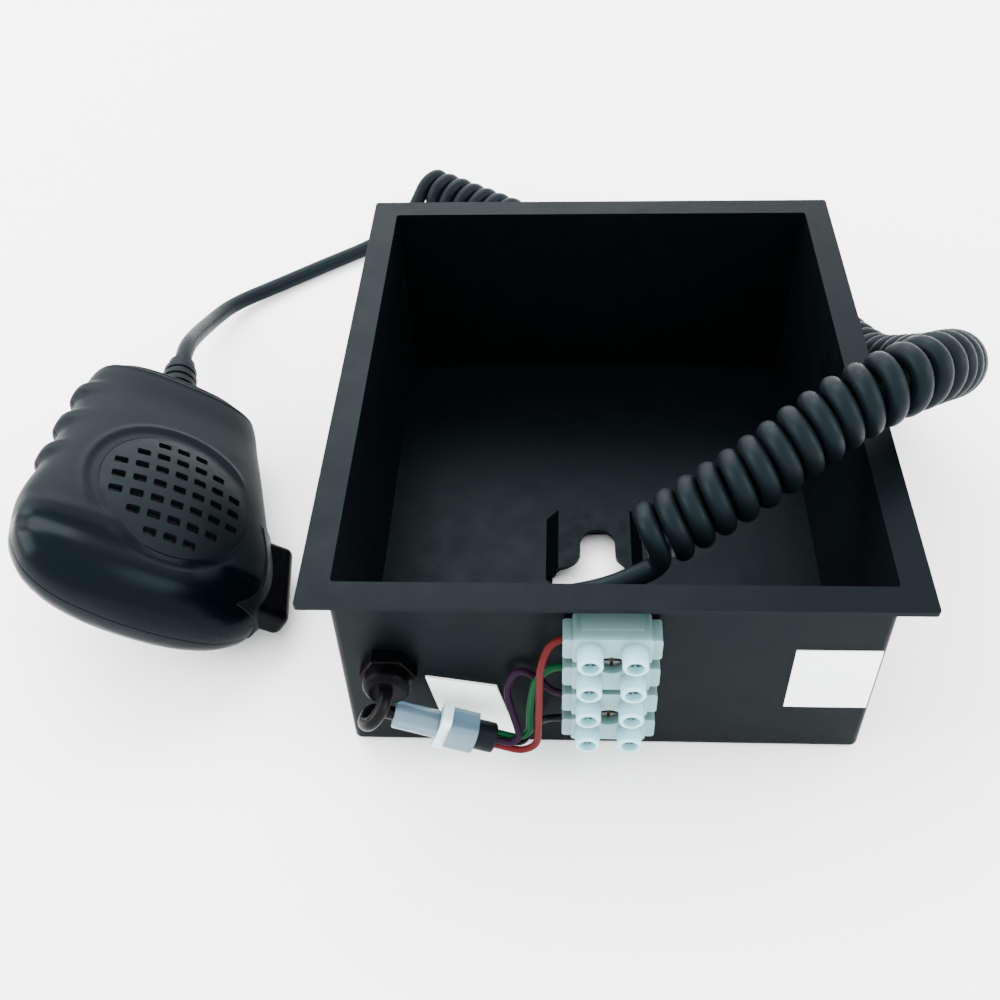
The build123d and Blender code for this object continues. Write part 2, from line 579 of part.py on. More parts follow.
# ---------------------------------------------------------------- grille, cloth and capsule
G_PLANE = face_on(GRILLE_C[0], GRILLE_C[1], 0)
G_SIDE = Plane(origin=G_PLANE.origin, x_dir=H_X, z_dir=H_Y * -1)
with BuildPart() as grille_insert:
    with BuildSketch(G_SIDE):
        with BuildLine():
            Polyline((0, 15.2), (0, 13.6))
            ThreePointArc((0, 13.6), (9.0, 13.1), (17.4, 11.6))
            Polyline((17.4, 11.6), (17.4, 8.2), (GRILLE_R, 8.2), (GRILLE_R, 12.4))
            ThreePointArc((GRILLE_R, 12.4), (10.0, 14.55), (0, 15.2))
        make_face()
    revolve(axis=Axis(G_PLANE.origin, H_Z))
    # rows of short slots inside the rim
    with BuildSketch(G_PLANE.offset(10)):
        with Locations(*[(5.0 * i, 5.0 * j) for i in range(-3, 4) for j in range(-3, 4) if math.hypot(5.0 * i, 5.0 * j) < 16.2]):
            RectangleRounded(3.3, 2.3, 0.5)
    extrude(amount=8, mode=Mode.SUBTRACT)
grille_insert.part.label = "grille_insert"
export_step(grille_insert.part, "parts/grille_insert.step")

with BuildPart() as dust_cloth:
    with BuildSketch(face_on(GRILLE_C[0], GRILLE_C[1], 10.9)):
        Circle(17.2)
    extrude(amount=0.4)
dust_cloth.part.label = "dust_cloth"
export_step(dust_cloth.part, "parts/dust_cloth.step")

with BuildPart() as mic_capsule:
    with BuildSketch(face_on(GRILLE_C[0] - 2, GRILLE_C[1], 2.6)):
        Circle(12.0)
    extrude(amount=8.0)
    fillet(mic_capsule.edges().filter_by(GeomType.CIRCLE), radius=0.8)
    with BuildSketch(face_on(GRILLE_C[0] - 2, GRILLE_C[1], 10.0)):
        with PolarLocations(6.0, 6):
            Circle(1.0)
        Circle(1.4)
    extrude(amount=2, mode=Mode.SUBTRACT)
mic_capsule.part.label = "mic_capsule"
export_step(mic_capsule.part, "parts/mic_capsule.step")

with BuildPart() as capsule_ring:
    with BuildSketch(face_on(GRILLE_C[0] - 2, GRILLE_C[1], 4.2)):
        Circle(14.4)
        Circle(12.02, mode=Mode.SUBTRACT)
    extrude(amount=3.4)
capsule_ring.part.label = "capsule_ring"
export_step(capsule_ring.part, "parts/capsule_ring.step")

# ---------------------------------------------------------------- board and talk switch
with BuildPart() as circuit_board:
    with BuildSketch(face_on(0.5, -13.9, -1.6)):
        RectangleRounded(40.0, 22.0, 1.0)
    extrude(amount=-1.5)
circuit_board.part.label = "circuit_board"
export_step(circuit_board.part, "parts/circuit_board.step")

SWITCH_Y, SWITCH_Z = -18.7, 2.0
with BuildPart() as switch_body:
    with BuildSketch(face_on(17.2, SWITCH_Y, -1.6)):
        Rectangle(5.6, 12.8)
    extrude(amount=6.4)
    # guide bore of the plunger
    with BuildSketch(side_at(16.0, SWITCH_Y, SWITCH_Z)):
        Rectangle(3.2, 2.2)
    extrude(amount=8, mode=Mode.SUBTRACT)
switch_body.part.label = "switch_body"
export_step(switch_body.part, "parts/switch_body.step")

with BuildPart() as switch_plunger:
    with BuildSketch(side_at(18.4, SWITCH_Y, SWITCH_Z)):
        Rectangle(3.1, 2.1)
    extrude(amount=4.0)
switch_plunger.part.label = "switch_plunger"
export_step(switch_plunger.part, "parts/switch_plunger.step")

with BuildPart() as ptt_bezel:
    with BuildSketch(side_at(BEZEL_X0, (BEZEL_Y0 + BEZEL_Y1) / 2, (BEZEL_Z0 + BEZEL_Z1) / 2)):
        RectangleRounded(BEZEL_Y1 - BEZEL_Y0 - 0.04, BEZEL_Z1 - BEZEL_Z0 - 0.04, 0.5)
    extrude(amount=BEZEL_X1 - BEZEL_X0)
    # its outer face follows the casing, standing a little proud of it
    add(casing(-0.4), mode=Mode.INTERSECT)
    with BuildSketch(side_at(BEZEL_X0 - 1, (BAR_Y0 + BAR_Y1) / 2, (BAR_Z0 + BAR_Z1) / 2)):
        RectangleRounded(BAR_Y1 - BAR_Y0 + 0.16, BAR_Z1 - BAR_Z0 + 0.16, 2.68)
    extrude(amount=16, mode=Mode.SUBTRACT)
    # recess behind the window where the bar's lip travels
    with BuildSketch(side_at(BEZEL_X0 - 1, (LIP_Y0 + LIP_Y1) / 2, 1.5)):
        Rectangle(LIP_Y1 - LIP_Y0 + 0.3, 2 * (1.5 - LIP_Z0) + 0.2)
    extrude(amount=1 + BAR_X0 + LIP_DEPTH + 0.1 - BEZEL_X0, mode=Mode.SUBTRACT)
ptt_bezel.part.label = "ptt_bezel"
export_step(ptt_bezel.part, "parts/ptt_bezel.step")

with BuildPart() as ptt_bar:
    with BuildSketch(side_at(BAR_X0, (BAR_Y0 + BAR_Y1) / 2, (BAR_Z0 + BAR_Z1) / 2)):
        RectangleRounded(BAR_Y1 - BAR_Y0, BAR_Z1 - BAR_Z0, 2.6)
    extrude(amount=BAR_X1 - BAR_X0)
    fillet(ptt_bar.faces().sort_by(Axis(hp(0, 0, 0), H_X))[-1].edges(), radius=2.3)
    # lip that keeps the bar in its window
    with BuildSketch(side_at(BAR_X0, (LIP_Y0 + LIP_Y1) / 2, 1.5)):
        Rectangle(LIP_Y1 - LIP_Y0, 2 * (1.5 - LIP_Z0))
    extrude(amount=LIP_DEPTH)
    # nose that reaches the switch plunger
    with BuildSketch(side_at(22.5, SWITCH_Y, SWITCH_Z + 1.2)):
        Rectangle(3.0, 3.4)
    extrude(amount=BAR_X0 - 22.5)
ptt_bar.part.label = "ptt_bar"
export_step(ptt_bar.part, "parts/ptt_bar.step")

# ---------------------------------------------------------------- hang-up stud and casing screws
with BuildPart() as hang_up_stud:
    with BuildSketch(Plane(origin=hp(0, STUD_Y, 0), x_dir=H_X, z_dir=H_Y * -1)):
        with BuildLine():
            Polyline((2.05, -12.0), (2.05, STUD_TIP + 1.6), (0, STUD_TIP + 1.6), (0, STUD_TIP), (6.0, STUD_TIP), (6.75, STUD_TIP + 0.75),
                     (6.75, STUD_TIP + 1.9), (6.1, STUD_TIP + 2.6), (4.0, STUD_TIP + 3.4), (4.0, -13.4), (6.2, -12.9), (6.2, -12.0), close=True)
        make_face()
    revolve(axis=Axis(hp(0, STUD_Y, 0), H_Z))
    add(outer_form, mode=Mode.SUBTRACT)
hang_up_stud.part.label = "hang_up_stud"
export_step(hang_up_stud.part, "parts/hang_up_stud.step")

with BuildPart() as stud_screw:
    with BuildSketch(face_on(0, STUD_Y, -3.99)):
        Circle(3.6)
    extrude(amount=2.0)
    with BuildSketch(face_on(0, STUD_Y, -3.99)):
        Circle(2.0)
    extrude(amount=-16.5)
stud_screw.part.label = "stud_screw"
export_step(stud_screw.part, "parts/stud_screw.step")

with BuildPart() as shell_screws:
    # their heads lie a little under the casing's surface, which is nearer at the flank's boss
    for boss, head in ((BOSSES[1], -8.3), (BOSSES[2], -6.5), (BOSSES[3], -8.5), (BOSSES[4], -8.5)):
        with BuildSketch(face_on(0, 0, head)):
            with Locations(boss):
                Circle(1.4)
        extrude(amount=-2.0 - head)
        with BuildSketch(face_on(0, 0, head)):
            with Locations(boss):
                Rectangle(2.0, 0.5)
                Rectangle(0.5, 2.0)
        extrude(amount=0.6, mode=Mode.SUBTRACT)
shell_screws.part.label = "shell_screws"
export_step(shell_screws.part, "parts/shell_screws.step")

# ---------------------------------------------------------------- cord entry of the handset
with BuildPart() as strain_relief_boot:
    with BuildSketch(Plane(origin=hp(0, 0, 0), x_dir=H_X, z_dir=H_Z)):
        with BuildLine():
            Polyline((2.55, 34.4), (6.2, 34.4), (6.2, 36.6), (5.05, 36.6), (5.05, 41.4), (5.9, 41.4), (5.9, 43.4), (4.9, 43.6), (4.9, 44.8),
                     (5.5, 45.0), (5.5, 46.8), (4.6, 47.0), (4.6, 48.2), (5.1, 48.4), (5.1, 50.2), (4.3, 50.4), (4.3, 51.6), (4.7, 51.8),
                     (4.7, 53.6), (4.0, 53.8), (3.8, BOOT_END - 0.4), (3.5, BOOT_END),
                     (2.55, BOOT_END), close=True)
        make_face()
    revolve(axis=Axis(hp(0, 0, 0), H_Y))
strain_relief_boot.part.label = "strain_relief_boot"
export_step(strain_relief_boot.part, "parts/strain_relief_boot.step")

with BuildPart() as cord_clamp:
    with BuildSketch(face_on(0, 30.0, -4.0)):
        RectangleRounded(19.0, 6.0, 0.8)
        with Locations((-7.0, 0), (7.0, 0)):
            Circle(1.25, mode=Mode.SUBTRACT)
    extrude(amount=-2.0)
cord_clamp.part.label = "cord_clamp"
export_step(cord_clamp.part, "parts/cord_clamp.step")

with BuildPart() as clamp_screws:
    with BuildSketch(face_on(0, 30.0, -4.0)):
        with Locations((-7.0, 0), (7.0, 0)):
            Circle(2.2)
    extrude(amount=1.4)
    with BuildSketch(face_on(0, 30.0, -4.0)):
        with Locations((-7.0, 0), (7.0, 0)):
            Circle(1.2)
    extrude(amount=-3.9)
clamp_screws.part.label = "clamp_screws"
export_step(clamp_screws.part, "parts/clamp_screws.step")

print("written", len(os.listdir("parts")))
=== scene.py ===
import math
import random

import bmesh
import bpy
import numpy as np
from mathutils import Matrix, Vector


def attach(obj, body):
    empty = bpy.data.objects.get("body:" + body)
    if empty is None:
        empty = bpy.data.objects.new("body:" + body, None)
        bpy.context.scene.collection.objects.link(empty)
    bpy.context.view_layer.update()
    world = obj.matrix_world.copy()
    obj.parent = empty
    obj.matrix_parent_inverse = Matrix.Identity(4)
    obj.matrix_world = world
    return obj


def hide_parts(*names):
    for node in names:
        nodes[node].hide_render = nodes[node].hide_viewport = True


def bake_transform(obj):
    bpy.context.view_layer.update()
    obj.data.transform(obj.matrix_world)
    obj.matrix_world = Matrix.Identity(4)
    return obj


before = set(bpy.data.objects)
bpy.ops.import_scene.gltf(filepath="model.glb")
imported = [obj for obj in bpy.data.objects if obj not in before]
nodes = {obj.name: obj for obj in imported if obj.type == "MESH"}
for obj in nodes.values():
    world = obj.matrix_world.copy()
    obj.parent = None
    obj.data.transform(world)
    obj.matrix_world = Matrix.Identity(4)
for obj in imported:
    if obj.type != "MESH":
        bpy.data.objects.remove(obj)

random.seed(7)
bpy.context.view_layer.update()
MM = 0.001

# ------------------------------------------------------------------ camera
cam_data = bpy.data.cameras.new("photo_camera")
cam = bpy.data.objects.new("photo_camera", cam_data)
bpy.context.scene.collection.objects.link(cam)
cam_data.lens = 42.547
cam_data.sensor_width = 36.0
cam_data.clip_start = 0.005
cam_data.clip_end = 20.0
fwd = Vector((-0.0509133, 0.69810402, -0.71418388)).normalized()
right = Vector((0.99868502, 0.03988827, -0.03220485)).normalized()
up = right.cross(fwd).normalized()
rot = Matrix((right, up, -fwd)).transposed()
cam.matrix_world = Matrix.Translation((-0.010557, -0.224944, 0.240429)) @ rot.to_4x4()
bpy.context.scene.camera = cam


# ------------------------------------------------------------------ handset frame (metres)
YAW, ROLL = math.radians(6.4), math.radians(35.4)
HX = Vector((math.cos(YAW) * math.cos(ROLL), math.sin(YAW) * math.cos(ROLL), -math.sin(ROLL)))
HZ = Vector((math.cos(YAW) * math.sin(ROLL), math.sin(YAW) * math.sin(ROLL), math.cos(ROLL)))
HY = HZ.cross(HX)
HO = Vector((-115.8, -13.7, 22.4)) * MM
HM = Matrix.Translation(HO) @ Matrix((HX, HY, HZ)).transposed().to_4x4()


def hp(x, y, z):
    """A handset point in millimetres as a point of the row frame in metres."""
    return HM @ Vector((x * MM, y * MM, z * MM))


# ------------------------------------------------------------------ material helpers
def new_mat(name):
    m = bpy.data.materials.new(name)
    m.use_nodes = True
    nt = m.node_tree
    for n in list(nt.nodes):
        nt.nodes.remove(n)
    out = nt.nodes.new("ShaderNodeOutputMaterial")
    bsdf = nt.nodes.new("ShaderNodeBsdfPrincipled")
    nt.links.new(bsdf.outputs["BSDF"], out.inputs["Surface"])
    coord = nt.nodes.new("ShaderNodeTexCoord")
    return m, nt, bsdf, coord


def noise(nt, coord, scale, detail=3.0, rough=0.55, stretch=None):
    src = coord.outputs["Object"]
    if stretch is not None:
        mp = nt.nodes.new("ShaderNodeMapping")
        mp.inputs["Scale"].default_value = stretch
        nt.links.new(src, mp.inputs["Vector"])
        src = mp.outputs["Vector"]
    n = nt.nodes.new("ShaderNodeTexNoise")
    n.inputs["Scale"].default_value = scale
    n.inputs["Detail"].default_value = detail
    n.inputs["Roughness"].default_value = rough
    nt.links.new(src, n.inputs["Vector"])
    return n.outputs["Fac"]


def ramp(nt, fac, stops):
    r = nt.nodes.new("ShaderNodeValToRGB")
    cr = r.color_ramp
    while len(cr.elements) > 1:
        cr.elements.remove(cr.elements[-1])
    cr.elements[0].position = stops[0][0]
    cr.elements[0].color = stops[0][1]
    for p, c in stops[1:]:
        e = cr.elements.new(p)
        e.color = c
    nt.links.new(fac, r.inputs["Fac"])
    return r.outputs["Color"]


def math_node(nt, op, a, b=None, c=None, clamp=False):
    n = nt.nodes.new("ShaderNodeMath")
    n.operation = op
    n.use_clamp = clamp
    for i, v in enumerate((a, b, c)):
        if v is None:
            continue
        if isinstance(v, (int, float)):
            n.inputs[i].default_value = v
        else:
            nt.links.new(v, n.inputs[i])
    return n.outputs[0]


def bump(nt, bsdf, height, strength, distance, prev=None):
    b = nt.nodes.new("ShaderNodeBump")
    b.inputs["Strength"].default_value = strength
    b.inputs["Distance"].default_value = distance
    nt.links.new(height, b.inputs["Height"])
    if prev is not None:
        nt.links.new(prev, b.inputs["Normal"])
    nt.links.new(b.outputs["Normal"], bsdf.inputs["Normal"])
    return b.outputs["Normal"]


def grey(v, a=1.0):
    return (v, v, v, a)


def tint(c, k):
    return (min(1, c[0] * k), min(1, c[1] * k), min(1, c[2] * k), 1.0)


def textured(name, base, rough, spread=0.12, blotch=18.0, grain=2600.0, grain_depth=0.00004, rough_spread=0.08, metallic=0.0, spec=0.5,
             fine=None, wear=0.0, coat=0.0, coat_rough=0.1, sheen=(1.0, 1.0, 1.0)):
    """A moulded, painted or metal surface: slow mottling of colour and gloss, and a fine grain in the relief."""
    m, nt, bsdf, coord = new_mat(name)
    slow = noise(nt, coord, blotch, 4.0, 0.6)
    mid = noise(nt, coord, blotch * 9, 3.0, 0.6)
    mix = math_node(nt, "MULTIPLY_ADD", mid, 0.35, math_node(nt, "MULTIPLY", slow, 0.65))
    col = ramp(nt, mix, [(0.28, tint(base, 1 - spread)), (0.5, tint(base, 1.0)), (0.72, tint(base, 1 + spread))])
    if wear > 0:
        # pointed edges show a paler, rubbed line
        geo = nt.nodes.new("ShaderNodeNewGeometry")
        edge = math_node(nt, "MULTIPLY", math_node(nt, "SUBTRACT", geo.outputs["Pointiness"], 0.52, clamp=True), 9.0, clamp=True)
        rub = math_node(nt, "MULTIPLY", edge, wear, clamp=True)
        mx = nt.nodes.new("ShaderNodeMix")
        mx.data_type = "RGBA"
        nt.links.new(rub, mx.inputs["Factor"])
        nt.links.new(col, mx.inputs["A"])
        mx.inputs["B"].default_value = tint(base, 2.6)
        col = mx.outputs["Result"]
    nt.links.new(col, bsdf.inputs["Base Color"])
    rr = nt.nodes.new("ShaderNodeMapRange")
    rr.inputs["From Min"].default_value = 0.3
    rr.inputs["From Max"].default_value = 0.7
    rr.inputs["To Min"].default_value = max(0.02, rough - rough_spread)
    rr.inputs["To Max"].default_value = min(1.0, rough + rough_spread)
    nt.links.new(mid, rr.inputs["Value"])
    nt.links.new(rr.outputs["Result"], bsdf.inputs["Roughness"])
    bsdf.inputs["Metallic"].default_value = metallic
    bsdf.inputs["Specular IOR Level"].default_value = spec
    bsdf.inputs["Specular Tint"].default_value = (*sheen, 1.0)
    bsdf.inputs["Coat Weight"].default_value = coat
    bsdf.inputs["Coat Roughness"].default_value = coat_rough
    g = noise(nt, coord, grain, 2.0, 0.6)
    n1 = bump(nt, bsdf, g, 0.55, grain_depth)
    if fine:
        g2 = noise(nt, coord, fine[0], 2.0, 0.5)
        bump(nt, bsdf, g2, 0.5, fine[1], prev=n1)
    return m


def put(obj, mat, smooth=True):
    obj.data.materials.clear()
    obj.data.materials.append(mat)
    if smooth is not None and obj.type == "MESH":
        for p in obj.data.polygons:
            p.use_smooth = smooth


# ------------------------------------------------------------------ materials
COOL = (0.62, 0.90, 1.0)
powder = textured("powder_coat_fine", (0.0007, 0.0012, 0.0015), 0.42, spread=0.15, blotch=14, grain=1500, grain_depth=0.00006,
                  fine=(5200, 0.00002), rough_spread=0.05, spec=0.050, sheen=COOL)
clip_mat = textured("powder_coat_clip", (0.0009, 0.0015, 0.0018), 0.42, spread=0.10, blotch=30, grain=1600, grain_depth=0.00005, spec=0.036, sheen=COOL)
nylon = textured("black_nylon", (0.0005, 0.0005, 0.0008), 0.40, spec=0.030, blotch=60, grain=3000, grain_depth=0.00002)
brass = textured("brass_machined", (0.13, 0.090, 0.036), 0.30, blotch=90, grain=2400, grain_depth=0.00001, metallic=1.0)
zinc = textured("zinc_plate", (0.105, 0.108, 0.100), 0.34, blotch=120, grain=2600, grain_depth=0.00001, metallic=1.0)
red = textured("wire_red", (0.058, 0.0050, 0.0055), 0.36, spec=0.05, blotch=60, grain=1800, grain_depth=0.00001)
green = textured("wire_green", (0.0010, 0.034, 0.011), 0.36, spec=0.045, blotch=60, grain=1800, grain_depth=0.00001)
violet = textured("wire_violet", (0.0090, 0.0026, 0.0100), 0.38, spec=0.045, blotch=60, grain=1800, grain_depth=0.00001)
blackw = textured("wire_black", (0.0010, 0.0010, 0.0013), 0.36, spec=0.07, blotch=60, grain=1800, grain_depth=0.00001)
label = textured("bare_label", (0.93, 0.96, 0.94), 0.5, spread=0.02, blotch=70, grain=3200, grain_depth=0.00001)
card = textured("bare_card", (0.90, 0.96, 0.88), 0.62, spread=0.03, blotch=55, grain=2200, grain_depth=0.00003)
board_mat = textured("board_green", (0.02, 0.12, 0.05), 0.35, blotch=80, grain=1400, grain_depth=0.00001)
rubber = textured("rubber_black", (0.0020, 0.0026, 0.0030), 0.50, spread=0.14, spec=0.075, sheen=COOL, blotch=40, grain=2200, grain_depth=0.00004)
capsule_mat = textured("capsule_can", (0.55, 0.56, 0.57), 0.3, metallic=1.0, blotch=60, grain=2500, grain_depth=0.00001)
switch_mat = textured("switch_plastic", (0.012, 0.012, 0.013), 0.4, blotch=80)
bar_mat = textured("talk_bar", (0.0006, 0.0007, 0.0010), 0.36, spec=0.045, blotch=60, grain=2400, grain_depth=0.00002)
bezel_mat = textured("talk_bezel", (0.0018, 0.0026, 0.0030), 0.40, blotch=40, grain=2200, grain_depth=0.00003, spec=0.08, sheen=COOL)
grille_mat = textured("grille_moulded", (0.0026, 0.0036, 0.0040), 0.50, blotch=40, grain=2200, grain_depth=0.00003, spec=0.08, sheen=COOL)
cloth_mat = textured("dust_cloth", (0.004, 0.004, 0.005), 0.9, blotch=200, grain=1500, grain_depth=0.0001)
stud_mat = textured("stud_nickel", (0.13, 0.128, 0.122), 0.27, metallic=1.0, blotch=60, grain=2200, grain_depth=0.00001)


def translucent(name, base, rough, weight, radius, grain=1400, blotch=45, trans=0.25, spread=0.08, flange_shade=None):
    """Cloudy moulded plastic that light enters: scattering under the surface and a little see-through."""
    m, nt, bsdf, coord = new_mat(name)
    slow = noise(nt, coord, blotch, 4.0, 0.6)
    col = ramp(nt, slow, [(0.3, tint(base, 1 - spread)), (0.7, tint(base, 1 + spread))])
    if flange_shade:
        # painted shade: the moulding's colour turns darker and greyer towards the wall behind it, standing for the
        # flange's shadow on the strip's top
        shade_colour, y0, y1 = flange_shade
        sep = nt.nodes.new("ShaderNodeSeparateXYZ")
        nt.links.new(coord.outputs["Object"], sep.inputs[0])
        near = nt.nodes.new("ShaderNodeMapRange")
        near.interpolation_type = "SMOOTHSTEP"
        near.inputs["From Min"].default_value = y0
        near.inputs["From Max"].default_value = y1
        wob = math_node(nt, "MULTIPLY_ADD", noise(nt, coord, 240, 3.0), 0.0016, math_node(nt, "SUBTRACT", sep.outputs["Y"], 0.0008))
        nt.links.new(wob, near.inputs["Value"])
        mx = nt.nodes.new("ShaderNodeMix")
        mx.data_type = "RGBA"
        nt.links.new(near.outputs["Result"], mx.inputs["Factor"])
        nt.links.new(ramp(nt, slow, [(0.3, tint(shade_colour, 1 - spread)), (0.7, tint(shade_colour, 1 + spread))]), mx.inputs["A"])
        nt.links.new(col, mx.inputs["B"])
        col = mx.outputs["Result"]
    nt.links.new(col, bsdf.inputs["Base Color"])
    rr = nt.nodes.new("ShaderNodeMapRange")
    rr.inputs["To Min"].default_value = rough - 0.06
    rr.inputs["To Max"].default_value = rough + 0.10
    nt.links.new(noise(nt, coord, blotch * 8, 3.0), rr.inputs["Value"])
    nt.links.new(rr.outputs["Result"], bsdf.inputs["Roughness"])
    bsdf.inputs["Subsurface Weight"].default_value = weight
    bsdf.inputs["Subsurface Radius"].default_value = radius
    bsdf.inputs["Subsurface Scale"].default_value = 0.004
    bsdf.inputs["Transmission Weight"].default_value = trans
    bsdf.inputs["IOR"].default_value = 1.45
    bump(nt, bsdf, noise(nt, coord, grain, 2.0), 0.4, 0.00003)
    return m


# the strip's colour carries a painted shade near the wall, under the flange
strip_mat = translucent("strip_polyamide", (0.29, 0.57, 0.62), 0.34, 0.20, (0.7, 0.9, 1.0), trans=0.14,
                        flange_shade=((0.095, 0.175, 0.165), -0.0752, -0.0802))
clear_mat = translucent("connector_clear", (0.13, 0.22, 0.29), 0.18, 0.15, (0.6, 0.8, 1.0), trans=0.55)
collar_mat = translucent("connector_collar", (0.60, 0.76, 0.82), 0.25, 0.4, (0.8, 0.9, 1.0), trans=0.15)

# ------------------------------------------------------------------ CAD nodes that are shown as they are
LOOKS = {
    "back_box": powder, "hanger_clip": clip_mat, "cable_gland": nylon, "gland_cap": nylon, "gland_locknut": nylon,
    "terminal_strip_body": strip_mat, "terminal_barrels": brass, "terminal_screws": zinc, "strip_fixing_screws": zinc,
    "strip_fixing_nuts": zinc, "wire_red": red, "wire_green": green, "wire_violet": violet, "wire_black": blackw, "pigtail": blackw,
    "inline_connector_a": clear_mat, "inline_connector_b": clear_mat, "connector_collar": collar_mat, "connector_boot": rubber,
    "white_label": label, "cream_card": card, "grille_insert": grille_mat, "dust_cloth": cloth_mat, "mic_capsule": capsule_mat,
    "capsule_ring": rubber, "circuit_board": board_mat, "switch_body": switch_mat, "switch_plunger": switch_mat, "ptt_bar": bar_mat,
    "ptt_bezel": bezel_mat, "hang_up_stud": stud_mat, "stud_screw": zinc, "shell_screws": zinc, "strain_relief_boot": rubber,
    "cord_clamp": zinc, "clamp_screws": zinc,
}
for name, mat in LOOKS.items():
    o = nodes[name]
    o.data.materials.clear()
    o.data.materials.append(mat)


def soften(name, width, segments=3, angle=32):
    """A small moulded or bent radius on a CAD node's sharp edges."""
    o = nodes[name]
    b = o.modifiers.new("edge_radius", "BEVEL")
    b.width = width
    b.segments = segments
    b.limit_method = "ANGLE"
    b.angle_limit = math.radians(angle)
    b.harden_normals = False
    b.use_clamp_overlap = True
    return b


# ------------------------------------------------------------------ routes of the cord (metres, as in the CAD)
TAIL = [(12.2, -51.1, 42.7), (3.8, -54.2, 39.6), (-8.5, -55.7, 36.6), (-24.0, -54.0, 32.6), (-39.2, -51.0, 29.9),
        (-48.0, -59.8, 29.5), (-48.0, -73.4, 29.5)]
COIL = [(8.9, -47.3, 46.0), (16.8, -44.0, 50.0), (24.9, -41.3, 54.5), (33.0, -37.8, 58.5), (41.9, -32.9, 63.0),
        (50.3, -28.2, 67.0), (58.1, -24.9, 70.0), (65.6, -20.8, 70.9), (73.0, -14.2, 68.2), (80.1, -5.0, 61.8),
        (85.8, 6.8, 52.6), (89.2, 19.8, 42.0), (88.9, 32.9, 31.4), (85.4, 44.1, 22.0), (81.4, 54.8, 14.0),
        (71.0, 82.0, 9.0), (56.0, 101.0, 8.8), (34.0, 113.0, 8.8), (8.0, 121.0, 8.8), (-14.5, 129.0, 8.8),
        (-36.5, 146.0, 8.9), (-59.1, 159.2, 10.2)]
BOOT_END = 57.4
LEAD_END = tuple(hp(0, BOOT_END + 0.3, 0) / MM)
LEAD_IN = tuple(hp(0, BOOT_END + 7.6, 0) / MM)
LEAD = [(-61.5, 154.1, 12.3), (-64.9, 149.7, 6.5), (-71.0, 142.2, 2.9), (-80.6, 132.8, 2.7), (-92.8, 123.4, 2.7),
        (-108.3, 110.3, 2.9), (-121.6, 97.6, 4.2), (-124.4, 80.7, 9.5), (-123.9, 63.6, 17.2), LEAD_IN, LEAD_END]


def route_points(name, pts, res=24):
    """Points of a spline route laid through the same control points as the solid's path, in metres."""
    cu = bpy.data.curves.new(name, "CURVE")
    cu.dimensions = "3D"
    cu.resolution_u = res
    sp = cu.splines.new("NURBS")
    sp.points.add(len(pts) - 1)
    for p, co in zip(sp.points, pts):
        p.co = (co[0] * MM, co[1] * MM, co[2] * MM, 1.0)
    sp.order_u = 3
    sp.use_endpoint_u = True
    ob = bpy.data.objects.new(name, cu)
    bpy.context.scene.collection.objects.link(ob)
    bpy.context.view_layer.update()
    me = bpy.data.meshes.new_from_object(ob.evaluated_get(bpy.context.evaluated_depsgraph_get()))
    out = np.array([v.co[:] for v in me.vertices], float)
    bpy.data.meshes.remove(me)
    bpy.data.objects.remove(ob)
    bpy.data.curves.remove(cu)
    return out


def resample(p, step):
    d = np.linalg.norm(np.diff(p, axis=0), axis=1)
    keep = np.concatenate([[True], d > 1e-9])
    p = p[keep]
    s = np.concatenate([[0], np.cumsum(np.linalg.norm(np.diff(p, axis=0), axis=1))])
    n = max(2, int(round(s[-1] / step)))
    t = np.linspace(0, s[-1], n + 1)
    return np.stack([np.interp(t, s, p[:, k]) for k in range(3)], 1), t


def frames(p, first):
    """Tangents and turning-free normals along a line, the first normal near the one given."""
    t = np.gradient(p, axis=0)
    t /= np.linalg.norm(t, axis=1)[:, None]
    n = np.zeros_like(p)
    v = np.array(first, float)
    v -= t[0] * (v @ t[0])
    n[0] = v / np.linalg.norm(v)
    for i in range(1, len(p)):
        v = n[i - 1] - t[i] * (n[i - 1] @ t[i])
        n[i] = v / np.linalg.norm(v)
    return t, n, np.cross(t, n)


def smooth_line(p, rounds, lo=0, hi=None):
    p = p.copy()
    hi = len(p) if hi is None else hi
    for _ in range(rounds):
        q = p.copy()
        q[lo + 1:hi - 1] = 0.25 * p[lo:hi - 2] + 0.5 * p[lo + 1:hi - 1] + 0.25 * p[lo + 2:hi]
        p = q
    return p


def tube_mesh(name, p, radius, sides=16, cap=True):
    """A round tube along the points p, radius one number or one per point."""
    r = np.full(len(p), radius, float) if np.isscalar(radius) else np.asarray(radius, float)
    t, n, b = frames(p, (0.3, 0.2, 1.0))
    a = np.linspace(0, 2 * math.pi, sides, endpoint=False)
    ring = np.cos(a)[None, :, None] * n[:, None, :] + np.sin(a)[None, :, None] * b[:, None, :]
    co = p[:, None, :] + ring * r[:, None, None]
    verts = co.reshape(-1, 3)
    faces = []
    m = len(p)
    for i in range(m - 1):
        for j in range(sides):
            k = (j + 1) % sides
            faces.append((i * sides + j, i * sides + k, (i + 1) * sides + k, (i + 1) * sides + j))
    if cap:
        faces.append(tuple(range(sides))[::-1])
        faces.append(tuple((m - 1) * sides + j for j in range(sides)))
    me = bpy.data.meshes.new(name)
    me.from_pydata([tuple(v) for v in verts], [], faces)
    me.update()
    for poly in me.polygons:
        poly.use_smooth = True
    ob = bpy.data.objects.new(name, me)
    bpy.context.scene.collection.objects.link(ob)
    return ob


# ------------------------------------------------------------------ cord: tail, helix and lead as one continuous line
CORD_D, COIL_D = 5.0 * MM, 17.0 * MM
HELIX_R = (COIL_D - CORD_D) / 2
tail_pts, _ = resample(route_points("tail_route", TAIL), 0.8 * MM)
lead_pts, _ = resample(route_points("lead_route", LEAD), 0.8 * MM)
coil_axis, coil_s = resample(route_points("coil_route", COIL), 0.5 * MM)
coil_len = coil_s[-1]

# the wire leaves the tail at the underside of the first turn, and the last turn at its upper near side
first_off = np.array([0.544, -0.627, -0.557])
last_off = np.array([-0.407, -0.847, 0.341])
ct, cn, cb = frames(coil_axis, first_off)


